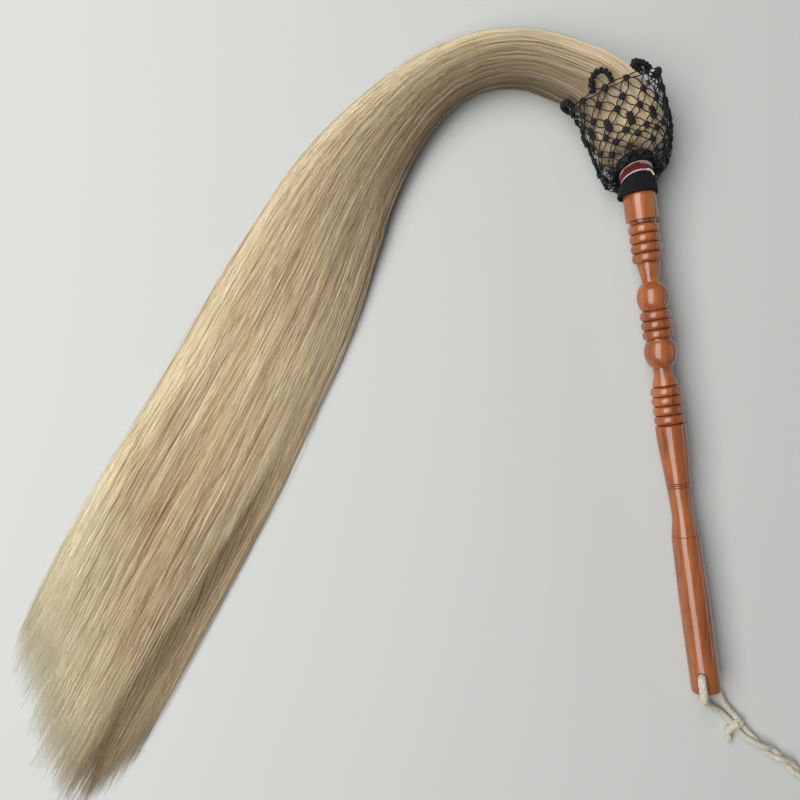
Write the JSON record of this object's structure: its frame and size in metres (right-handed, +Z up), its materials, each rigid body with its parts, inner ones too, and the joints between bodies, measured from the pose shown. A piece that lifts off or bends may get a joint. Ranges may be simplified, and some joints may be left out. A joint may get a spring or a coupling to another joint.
{
  "type": "fly whisk",
  "caption": "Fly whisk with a long tail of pale horsehair bound into a black net cup on a turned wooden handle, with a white cotton wrist loop.",
  "frame": {"origin": "on the table under the middle of the whisk's box, its cord left out", "axes": "+Z up from the table the whisk lies on; +Y towards the head end, where the net is, along the whisk's longest extent; the tail lies at -X and the handle at +X"},
  "size_m": [0.6079, 0.5932, 0.0556],
  "materials": {
    "varnished_wood": "glossy orange-brown varnish",
    "binding_cord": "plain twisted cord",
    "white_thread": "matte thread",
    "red_thread": "matte dark crimson thread",
    "black_cloth": "matte fuzzy cloth",
    "black_thread": "matte knotted thread",
    "horsehair": "straight pale blond horse tail hair, softly glossy",
    "cotton_cord": "soft off-white cotton cord"
  },
  "bodies": {
    "whisk": {"handle": "varnished_wood", "root_binding": "binding_cord", "black_cuff": "black_cloth", "white_winding_lower": "white_thread", "red_winding": "red_thread", "white_winding_upper": "white_thread", "net_neck_band": "black_thread", "net_cup": "black_thread", "net_edging": "black_thread", "hair_root": "horsehair", "cord_eye": "cotton_cord", "cord_knot": "cotton_cord", "cord_tail": "cotton_cord", "wrist_loop": "cotton_cord"},
    "hair_upper": {"hair_neck": "horsehair", "hair_arch": "horsehair"},
    "hair_lower": {"hair_bend": "horsehair", "hair_fan": "horsehair"}
  },
  "joints": [
    {"name": "hair_swing", "type": "hinge", "parent": "whisk", "child": "hair_upper", "pos_m": [0.14508, 0.22874, 0], "axis": [0, 0, 1], "range_deg": [-60, 30], "deforming": ["hair_neck"]},
    {"name": "hair_lift", "type": "hinge", "parent": "hair_upper", "child": "hair_lower", "pos_m": [0.0118, 0.20363, 0], "axis": [-0.6961, 0.7179, 0], "range_deg": [0, 60], "deforming": ["hair_bend"]}
  ]
}
